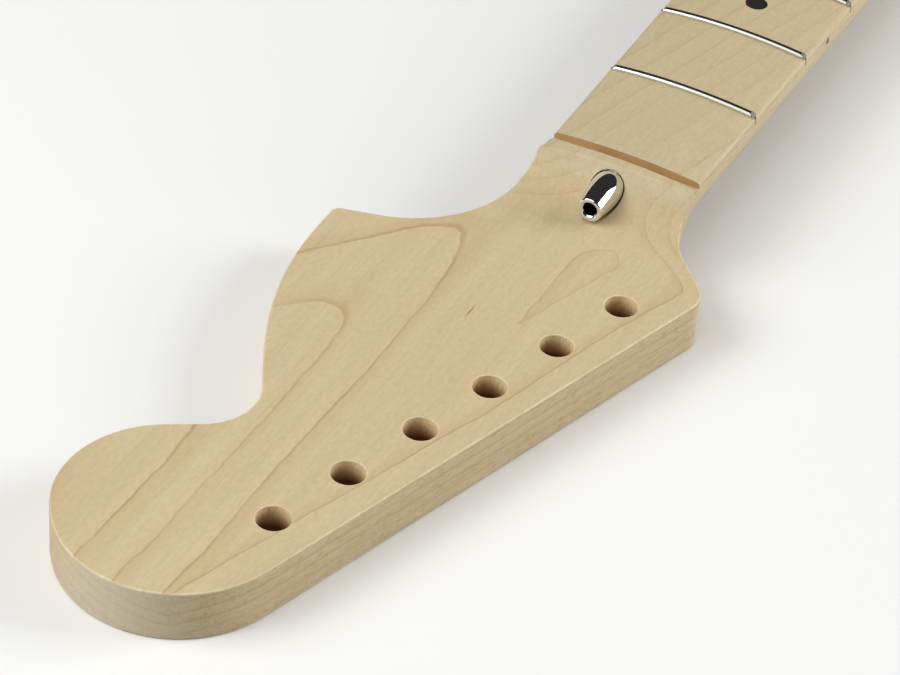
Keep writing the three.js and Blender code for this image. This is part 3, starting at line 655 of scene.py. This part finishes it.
def is_back_edge(edge):
    """The edge round the headstock's and the heel's back."""
    point = middle(edge)
    if point.z > 1.0 * MM or near_tuner_hole(point):
        return False
    if abs(point.y) < STRIPE_REACH and point.x < BOARD_END:
        return False
    if abs(point.x) < SCREWS_HALF_LENGTH and abs(point.y) < SCREWS_HALF_WIDTH:
        return False
    return stands_out(edge)


def is_hole_edge(edge):
    """The rims of the tuner holes on the face."""
    point = middle(edge)
    return point.z > HEAD_THICKNESS / 2 and near_tuner_hole(point) and stands_out(edge)


def is_bore_edge(edge):
    """The rim of the rod's bore where it opens in the scoop."""
    return near_bore(middle(edge)) and stands_out(edge)


def crown_normal(point):
    """The fingerboard's camber is a part of a cylinder along the neck."""
    return Vector((0.0, point.y, point.z - PLANK_TOP + BOARD_RADIUS)).normalized()


def bore_normal(point):
    """The rod's bore is a cylinder along the neck, seen from inside."""
    return Vector((0.0, MOUTH.y - point.y, MOUTH.z - point.z)).normalized()


def scoop_normal(point):
    """The scoop is a part of a cylinder that lies across the neck, turned a little."""
    turn = Matrix.Rotation(SCOOP_SLANT, 3, "Z")
    rise = PLANK_TOP - HEAD_THICKNESS
    run = math.sqrt(SCOOP_RADIUS ** 2 - (SCOOP_RADIUS - rise) ** 2)
    axis = Vector((LAND_END + run, 0.0, HEAD_THICKNESS + SCOOP_RADIUS))
    local = turn.inverted() @ Vector((point.x - BOARD_END, point.y, point.z))
    normal = Vector((axis.x - local.x, 0.0, axis.z - local.z)).normalized()
    return turn @ normal


def neck_normal(face, points):
    """The true surface of the neck that a face lies on, as a function from point to normal."""
    centre, slope = face.center, face.normal
    past_board = centre.x - BOARD_END
    if all(abs(point.z - HEAD_THICKNESS) < HAIR for point in points):
        return lambda point: Vector((0.0, 0.0, 1.0))
    if past_board > 0.0 and abs(slope.x) < 0.05 and abs((centre - MOUTH).yz.length - BORE_RADIUS) < 10 * HAIR:
        if slope.dot(bore_normal(centre)) > 0.98:
            return bore_normal
    if past_board < LAND_END + 2 * MM:
        off = max(
            abs(math.hypot(point.y, point.z - PLANK_TOP + BOARD_RADIUS) - BOARD_RADIUS) for point in points)
        if off < 2 * HAIR or off < 10 * HAIR and slope.dot(crown_normal(centre)) > 0.998:
            return crown_normal
    if past_board > NUT_SLOT and slope.x > 0.02 and slope.z > 0.02:
        if slope.dot(scoop_normal(centre)) > 0.995:
            return scoop_normal
    if face.area > 0.5 * MM * MM and max(abs(part) for part in slope) > 0.9998:
        flat = slope.copy()
        return lambda point: flat
    return None


class GuitarNeckWood(bpy.types.Operator):
    """Adds the one-piece maple neck"""
    bl_idname = "mesh.guitar_neck_wood"
    bl_label = "Neck"
    bl_options = {"REGISTER", "UNDO"}

    def execute(self, context):
        settings = sizes("guitar_neck_wood")
        neck = copy_of_node("neck", "neck_wood")
        give_material(neck, maple_material("maple_sanded", settings, settings.maple))
        # Eased edges and the hole and bore rims get a second maple, painted paler as a painted highlight
        neck.data.materials.append(maple_material("maple_rubbed_edge", settings, settings.edge))
        ease_edges(neck, is_face_edge, settings.easing, 3, 1)
        ease_edges(neck, is_land_edge, settings.land_easing, 2, 1)
        ease_edges(neck, is_back_edge, settings.easing, 2, 1)
        ease_edges(neck, is_hole_edge, settings.hole_easing, 2, 1)
        ease_edges(neck, is_bore_edge, settings.hole_easing, 2, 1)
        merge_slivers(neck)
        make_active(neck)
        bpy.ops.object.shade_smooth_by_angle(angle=SHARP)
        apply_modifier(neck, "WEIGHTED_NORMAL", mode="FACE_AREA", weight=50, keep_sharp=True)
        set_normals(neck, neck_normal)
        place_piece(neck, "neck_body", "maple", "neck")
        return {"FINISHED"}


def crown_profile(settings):
    """The wire's half-round crown, as a face across the neck's length, its foot a hair in the board."""
    bpy.ops.mesh.primitive_circle_add(
        vertices=32, radius=settings.width / 2, fill_type="NGON",
        location=(0, 0, PLANK_TOP + FRET_SEAT), rotation=(math.radians(90), 0, 0))
    bpy.ops.object.mode_set(mode="EDIT")
    bpy.ops.mesh.bisect(plane_co=(0, 0, PLANK_TOP - CROWN_SINK), plane_no=(0, 0, 1), clear_inner=True)
    bpy.ops.mesh.select_all(action="SELECT")
    bpy.ops.transform.resize(
        value=(1, 1, 2 * settings.height / settings.width), center_override=(0, 0, PLANK_TOP + FRET_SEAT))


def tang_profile(settings):
    """The wire's tang, as a face across the neck's length."""
    high = PLANK_TOP - TANG_SINK
    bpy.ops.mesh.primitive_plane_add(
        size=TANG_THICKNESS, location=(0, 0, high - TANG_DEPTH / 2), rotation=(math.radians(90), 0, 0))
    bpy.ops.object.mode_set(mode="EDIT")
    bpy.ops.mesh.select_all(action="SELECT")
    bpy.ops.transform.resize(
        value=(1, 1, TANG_DEPTH / TANG_THICKNESS), center_override=(0, 0, high - TANG_DEPTH / 2))


def bent_bar(name, settings, add_profile):
    """A bar of this profile, bent round the board's camber, as long as the widest fret and more."""
    deselect_all()
    centre = (0, 0, PLANK_TOP - settings.board_radius)
    angle = CROWN_REACH / settings.board_radius
    add_profile(settings)
    bpy.ops.mesh.select_all(action="SELECT")
    bpy.ops.mesh.spin(steps=48, angle=-2 * angle, center=centre, axis=(1, 0, 0))
    bpy.ops.mesh.select_all(action="SELECT")
    bpy.ops.mesh.remove_doubles(threshold=DOUBLE)
    bpy.ops.mesh.normals_make_consistent(inside=False)
    bpy.ops.object.mode_set(mode="OBJECT")
    bar = bpy.context.object
    bar.name = name
    settle(bar)
    turn = Matrix.Rotation(-angle, 4, "X")
    turn = Matrix.Translation(centre) @ turn @ Matrix.Translation([-part for part in centre])
    side = sum(vertex.co.y for vertex in bar.data.vertices)
    bar.data.transform(turn if side < 0 else turn.inverted())
    return bar


def copy_of(source, name):
    """A copy of a piece with its own mesh."""
    piece = source.copy()
    piece.data = source.data.copy()
    piece.name = name
    bpy.context.scene.collection.objects.link(piece)
    return piece


def file_ends(piece, half, slant):
    """Cuts both ends of a bar at this half width, leaning in by a slant above the board."""
    make_active(piece)
    bpy.ops.object.mode_set(mode="EDIT")
    drop = PLANK_TOP - half ** 2 / 2 / BOARD_RADIUS
    for side in (-1, 1):
        bpy.ops.mesh.select_all(action="SELECT")
        bpy.ops.mesh.bisect(
            plane_co=(0, side * half, drop), plane_no=(0, side * math.cos(slant), math.sin(slant)),
            use_fill=True, clear_outer=True)
    bpy.ops.object.mode_set(mode="OBJECT")


def soften_ends(piece, from_half, radius):
    """Rounds the rim of both filed ends, past this half width."""
    def is_end_rim(edge):
        point = middle(edge)
        if abs(point.y) < from_half or point.z < PLANK_TOP - 1.1 * MM + FRET_SEAT:
            return False
        if len(edge.link_faces) != 2 or edge.calc_face_angle(0.0) < SHARP:
            return False
        return max(face.calc_area() for face in edge.link_faces) > 0.5 * MM * MM

    ease_edges(piece, is_end_rim, radius, 2)


class GuitarNeckFrets(bpy.types.Operator):
    """Adds the fret wires"""
    bl_idname = "mesh.guitar_neck_frets"
    bl_label = "Frets"
    bl_options = {"REGISTER", "UNDO"}

    def execute(self, context):
        settings = sizes("guitar_neck_frets")
        # Nickel silver, levelled and polished to a warm pale metal, with a fine haze of polishing lines drawn
        # coarser than real. At its ends it is rougher from the file and painted a dark grey, a painted shade
        # that dims the lamps' reflection there
        material = streaked_material(
            "nickel_silver_polished", settings.metal, settings.shade, WIRE_HAZE, 1.0, 0.13, 0.11, **HAZE)
        filed = streaked_material(
            "nickel_silver_filed", settings.filed, settings.filed, WIRE_HAZE, 1.0, 0.45, 0.11, **HAZE)
        # Each wire is a copy of one bent bar, filed to its own length
        crown = bent_bar("fret_crown", settings, crown_profile)
        tang = bent_bar("fret_tang", settings, tang_profile)
        for name in FRET_NAMES:
            low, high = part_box(name)
            place = (low.x + high.x) / 2
            half = high.y + TANG_END_INSET
            piece = copy_of(crown, f"{name}_wire")
            file_ends(piece, half - settings.end_inset, settings.end_angle)
            soften_ends(piece, half - settings.end_inset - 2 * settings.height, settings.end_softening)
            merge_slivers(piece)
            foot = copy_of(tang, f"{name}_foot")
            file_ends(foot, high.y, 0.0)
            make_active(piece)
            foot.select_set(True)
            bpy.ops.object.join()
            piece.location.x = place
            settle(piece)
            bpy.ops.object.shade_smooth_by_angle(angle=SHARP)
            give_material(piece, material)
            piece.data.materials.append(filed)
            # Faces of the filed ends get the darker metal, a painted shade
            for face in piece.data.polygons:
                face.material_index = int(abs(face.normal.y) > 0.45)
            place_piece(piece, "neck_body", "nickel_silver", name)
        for blank in (crown, tang):
            bpy.data.objects.remove(blank)
        return {"FINISHED"}


class GuitarNeckInlays(bpy.types.Operator):
    """Gives the position dots their finish"""
    bl_idname = "mesh.guitar_neck_inlays"
    bl_label = "Position dots"
    bl_options = {"REGISTER", "UNDO"}

    def execute(self, context):
        settings = sizes("guitar_neck_inlays")
        # Black phenolic, sanded flush: a dark grey with faint clouds and a soft sheen
        material = streaked_material(
            "black_phenolic", settings.dot, settings.dot_dark, (0.4, 0.4, 0.4), 0.0, 0.35)
        for name in INLAY_NAMES:
            give_material(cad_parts[name], material)
        return {"FINISHED"}


class GuitarNeckRod(bpy.types.Operator):
    """Adds the bullet nut and finishes the rest of the truss rod"""
    bl_idname = "mesh.guitar_neck_rod"
    bl_label = "Truss rod"
    bl_options = {"REGISTER", "UNDO"}

    def execute(self, context):
        settings = sizes("guitar_neck_rod")
        nut = bullet_nut(settings)
        # Bright chrome on turned steel, a clear mirror. Its faint haze of touch is in clouds of a
        # millimetre, drawn coarser than real
        chrome = streaked_material(
            "chrome_plate", settings.chrome, settings.chrome_haze, [1 / 0.9] * 3, 1.0, 0.03, 0.04, **HAZE)
        give_material(nut, chrome)
        # Steel inside the socket, painted near black with darker streaks as painted shade, so the wrench's hole
        # stays dark
        oiled = streaked_material(
            "steel_oiled", settings.oiled, settings.socket_painted_shade_dark, (1, 0.3, 0.3), 1.0, 0.45)
        nut.data.materials.append(oiled)
        # Faces deep in the socket get the near-black painted shade
        corner = settings.socket / 2 / math.cos(math.radians(30)) + 2 * HAIR
        floor = MOUTH.x - 0.9 * settings.lead_depth
        for face in nut.data.polygons:
            if (face.center - MOUTH).yz.length < corner and face.center.x < floor:
                face.material_index = 1
        place_piece(nut, "rod_nut", "chrome", "truss_rod_nut")
        # Steel drawn through a die, with dull lines along it
        steel = streaked_material("steel_drawn", settings.steel, settings.steel_dark, (6, 0.3, 0.3), 1.0, 0.3)
        for name in ("truss_rod", "truss_rod_anchor", "truss_rod_washer"):
            give_material(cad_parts[name], steel)
        stripe = copy_of_node("skunk_stripe", "walnut_stripe")
        bpy.ops.object.shade_smooth_by_angle(angle=SHARP)
        # Walnut sanded flush with the back: dark pores 18 mm long, drawn 0.7 mm wide to show
        walnut = streaked_material(
            "walnut_sanded", settings.walnut, settings.walnut_dark, (18, 0.7, 0.9), 0.0, 0.5)
        give_material(stripe, walnut)
        place_piece(stripe, "neck_body", "walnut", "skunk_stripe")
        # The sawn end of a maple dowel, duller and browner than the sanded neck
        dowel = streaked_material(
            "maple_dowel", settings.dowel, settings.dowel_dark, (3, 0.5, 0.9), 0.0, 0.58)
        give_material(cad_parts["heel_plug"], dowel)
        return {"FINISHED"}


def select_cap(piece, side):
    """Selects the flat end face of a lathe-shaped piece, in edit mode, on its upper or lower side."""
    bpy.ops.mesh.select_mode(type="FACE")
    bpy.ops.mesh.select_all(action="DESELECT")
    mesh = bmesh.from_edit_mesh(piece.data)
    cap = max(mesh.faces, key=lambda face: side * face.calc_center_median().z)
    cap.select = True
    mesh.select_flush(True)
    bmesh.update_edit_mesh(piece.data)


def bullet_nut(settings):
    """The rod's nut: a barrel that narrows in a long curve to a flat mouth with a hex socket."""
    deselect_all()
    radius, mouth = settings.diameter / 2, settings.mouth / 2
    straight = BARREL_LENGTH - settings.ogive
    bpy.ops.mesh.primitive_cylinder_add(
        vertices=96, radius=radius, depth=straight, location=(0, 0, straight / 2 - BARREL_LENGTH))
    nut = bpy.context.object
    nut.name = "bullet_nut"
    settle(nut)
    bpy.ops.object.mode_set(mode="EDIT")
    select_cap(nut, 1)
    here = radius
    steps = settings.ogive_steps
    for step in range(1, steps + 1):
        share = step / steps
        size = radius + (mouth - radius) * share ** 2
        bpy.ops.mesh.extrude_region_move(TRANSFORM_OT_translate={"value": (0, 0, settings.ogive / steps)})
        bpy.ops.transform.resize(value=(size / here, size / here, 1), center_override=(0, 0, 0))
        here = size
    lead = settings.lead / 2
    bpy.ops.mesh.inset(thickness=mouth - lead, use_boundary=True)
    bpy.ops.mesh.extrude_region_move(TRANSFORM_OT_translate={"value": (0, 0, -settings.lead_depth)})
    floor = lead - settings.lead_depth
    bpy.ops.transform.resize(value=(floor / lead, floor / lead, 1), center_override=(0, 0, 0))
    select_cap(nut, -1)
    bpy.ops.mesh.inset(thickness=radius - settings.thread / 2, use_boundary=True)
    bpy.ops.mesh.extrude_region_move(
        TRANSFORM_OT_translate={"value": (0, 0, BARREL_LENGTH - settings.socket_depth - THREAD_FLOOR)})
    bpy.ops.object.mode_set(mode="OBJECT")
    across = settings.socket / 2 / math.cos(math.radians(30))
    deselect_all()
    bpy.ops.mesh.primitive_cylinder_add(
        vertices=6, radius=across, depth=2 * settings.socket_depth, location=(0, 0, 0),
        rotation=(0, 0, settings.socket_turn))
    wrench = bpy.context.object
    settle(wrench)
    apply_modifier(nut, "BOOLEAN", operation="DIFFERENCE", solver="EXACT", object=wrench)
    bpy.data.objects.remove(wrench)

    def is_rim(edge):
        point = middle(edge)
        if abs(point.z) > HAIR or point.xy.length < lead * 0.95:
            return False
        return len(edge.link_faces) == 2 and edge.calc_face_angle(0.0) > math.radians(20)

    def is_barrel_end(edge):
        point = middle(edge)
        if abs(point.z + BARREL_LENGTH) > HAIR or point.xy.length < radius * 0.9:
            return False
        return edge.calc_face_angle(0.0) > SHARP

    ease_edges(nut, is_rim, settings.rim, 4)
    ease_edges(nut, is_barrel_end, BARREL_EASING, 3)
    nut.data.transform(Matrix.Translation(MOUTH) @ Matrix.Rotation(math.radians(90), 4, "Y"))
    make_active(nut)
    bpy.ops.object.shade_smooth_by_angle(angle=math.radians(28))
    return nut


class GuitarNeckStage(bpy.types.Operator):
    """Adds the floor, the lamps and the camera"""
    bl_idname = "scene.guitar_neck_stage"
    bl_label = "Stage"
    bl_options = {"REGISTER", "UNDO"}

    def execute(self, context):
        settings = sizes("guitar_neck_stage")
        deselect_all()
        bpy.ops.mesh.primitive_plane_add(size=12.0, location=(0.3, 0.0, -0.0002))
        floor = context.object
        floor.name = "floor"
        give_material(floor, floor_material(settings))
        add_world(settings)
        # Soft boxes round the headstock: direction, how far, width and height, and power
        for name, direction, far, size, power in (
            ("right_box", (-0.50, 0.79, 0.36), 1.6, (0.85, 1.1), settings.right),
            ("left_box", (0.45, -0.62, 0.64), 1.6, (0.9, 0.9), settings.left),
            ("front_box", (0.60, -0.24, 0.76), 1.5, (1.1, 1.9), settings.front),
        ):
            add_lamp(name, HEAD + far * Vector(direction), HEAD, size, power)
        add_camera()
        context.scene.view_settings.view_transform = "Standard"
        return {"FINISHED"}


def direct_rays(tree):
    """One where a thing is seen straight, mirrored or through glass, and one where it is mirrored."""
    rays = add_node(tree, "ShaderNodeLightPath").outputs
    seen = rays["Is Camera Ray"]
    for ray in ("Is Glossy Ray", "Is Transmission Ray"):
        seen = add_node(tree, "ShaderNodeMath", {0: seen, 1: rays[ray]}, operation="MAXIMUM").outputs[0]
    return seen, rays["Is Glossy Ray"]


def floor_material(settings):
    """A pale floor of matt paper that keeps the shadow, and throws back less light than it shows."""
    material, tree = new_material("pale_floor")
    seen, _ = direct_rays(tree)
    colour = add_node(
        tree, "ShaderNodeMix",
        {"Factor": seen, "A": linear(settings.bounce), "B": linear(settings.floor)},
        data_type="RGBA").outputs["Result"]
    finish_material(tree, {"Base Color": colour, "Roughness": 0.9, "Specular IOR Level": 0.1})
    return material


def add_world(settings):
    """A pale room round the stage, with a low band of pale wall and a dark ceiling for metal to mirror."""
    world = bpy.data.worlds.new("pale_room")
    bpy.context.scene.world = world
    world.use_nodes = True
    tree = world.node_tree
    tree.nodes.clear()
    seen, mirrored = direct_rays(tree)
    strength = add_node(
        tree, "ShaderNodeMix", {"Factor": seen, "A": settings.ambient, "B": 1.0},
        data_type="FLOAT").outputs["Result"]
    upward = add_node(tree, "ShaderNodeTexCoord").outputs["Generated"]
    upward = add_node(tree, "ShaderNodeSeparateXYZ", {"Vector": upward}).outputs["Z"]
    dark = add_node(
        tree, "ShaderNodeMapRange", {"Value": upward, "From Min": 0.04, "From Max": 0.12, "To Max": 0.97},
        interpolation_type="SMOOTHSTEP").outputs[0]
    dark = add_node(tree, "ShaderNodeMath", {0: dark, 1: mirrored}, operation="MULTIPLY").outputs[0]
    colour = add_node(
        tree, "ShaderNodeMix", {"Factor": dark, "A": (1, 1, 1, 1), "B": (0, 0, 0, 1)},
        data_type="RGBA").outputs["Result"]
    background = add_node(tree, "ShaderNodeBackground", {"Color": colour, "Strength": strength})
    add_node(tree, "ShaderNodeOutputWorld", {"Surface": background.outputs["Background"]})


def add_lamp(name, place, target, size, power):
    """A soft box that points at a target."""
    bpy.ops.object.light_add(type="AREA", location=place)
    lamp = bpy.context.object
    lamp.name = name
    lamp.data.shape = "RECTANGLE"
    lamp.data.size, lamp.data.size_y = size
    lamp.data.energy = power
    lamp.rotation_mode = "QUATERNION"
    lamp.rotation_quaternion = (Vector(target) - Vector(place)).to_track_quat("-Z", "Y")


def add_camera():
    """The camera at the photograph's place, direction and lens, fitted on the frets, holes and outline."""
    bpy.ops.object.camera_add(location=CAMERA_PLACE, rotation=[math.radians(turn) for turn in CAMERA_TURN])
    camera = bpy.context.object
    camera.name = "camera"
    camera.data.sensor_width = 36.0
    camera.data.lens = CAMERA_LENS
    camera.data.clip_start = 0.01
    camera.data.clip_end = 50.0
    bpy.context.scene.camera = camera


class GuitarNeckPanel(bpy.types.Panel):
    """The neck's pieces in the sidebar"""
    bl_idname = "VIEW3D_PT_guitar_neck"
    bl_label = "Guitar Neck"
    bl_space_type = "VIEW_3D"
    bl_region_type = "UI"
    bl_category = "Guitar Neck"

    def draw(self, context):
        for operator, group in PIECES:
            box = self.layout.box()
            settings = getattr(context.scene, group)
            for name in settings.__annotations__:
                box.prop(settings, name)
            box.operator(operator.bl_idname)


GROUPS = {
    "guitar_neck_wood": NeckWoodSizes,
    "guitar_neck_frets": FretSizes,
    "guitar_neck_inlays": InlaySizes,
    "guitar_neck_rod": RodSizes,
    "guitar_neck_stage": StageSizes,
}
PIECES = (
    (GuitarNeckWood, "guitar_neck_wood"),
    (GuitarNeckFrets, "guitar_neck_frets"),
    (GuitarNeckInlays, "guitar_neck_inlays"),
    (GuitarNeckRod, "guitar_neck_rod"),
    (GuitarNeckStage, "guitar_neck_stage"),
)


def register():
    """Registers the groups of sizes, the operators and the panel."""
    for group in GROUPS.values():
        bpy.utils.register_class(group)
    for name, group in GROUPS.items():
        setattr(bpy.types.Scene, name, PointerProperty(type=group))
    for operator, _ in PIECES:
        bpy.utils.register_class(operator)
    bpy.utils.register_class(GuitarNeckPanel)


def unregister():
    """Takes back what register did."""
    bpy.utils.unregister_class(GuitarNeckPanel)
    for operator, _ in reversed(PIECES):
        bpy.utils.unregister_class(operator)
    for name in GROUPS:
        delattr(bpy.types.Scene, name)
    for group in reversed(GROUPS.values()):
        bpy.utils.unregister_class(group)


def main():
    """Builds every piece and the stage."""
    register()
    deselect_all()
    for operator, _ in PIECES:
        category, name = operator.bl_idname.split(".")
        getattr(getattr(bpy.ops, category), name)()


if __name__ == "__main__":
    main()
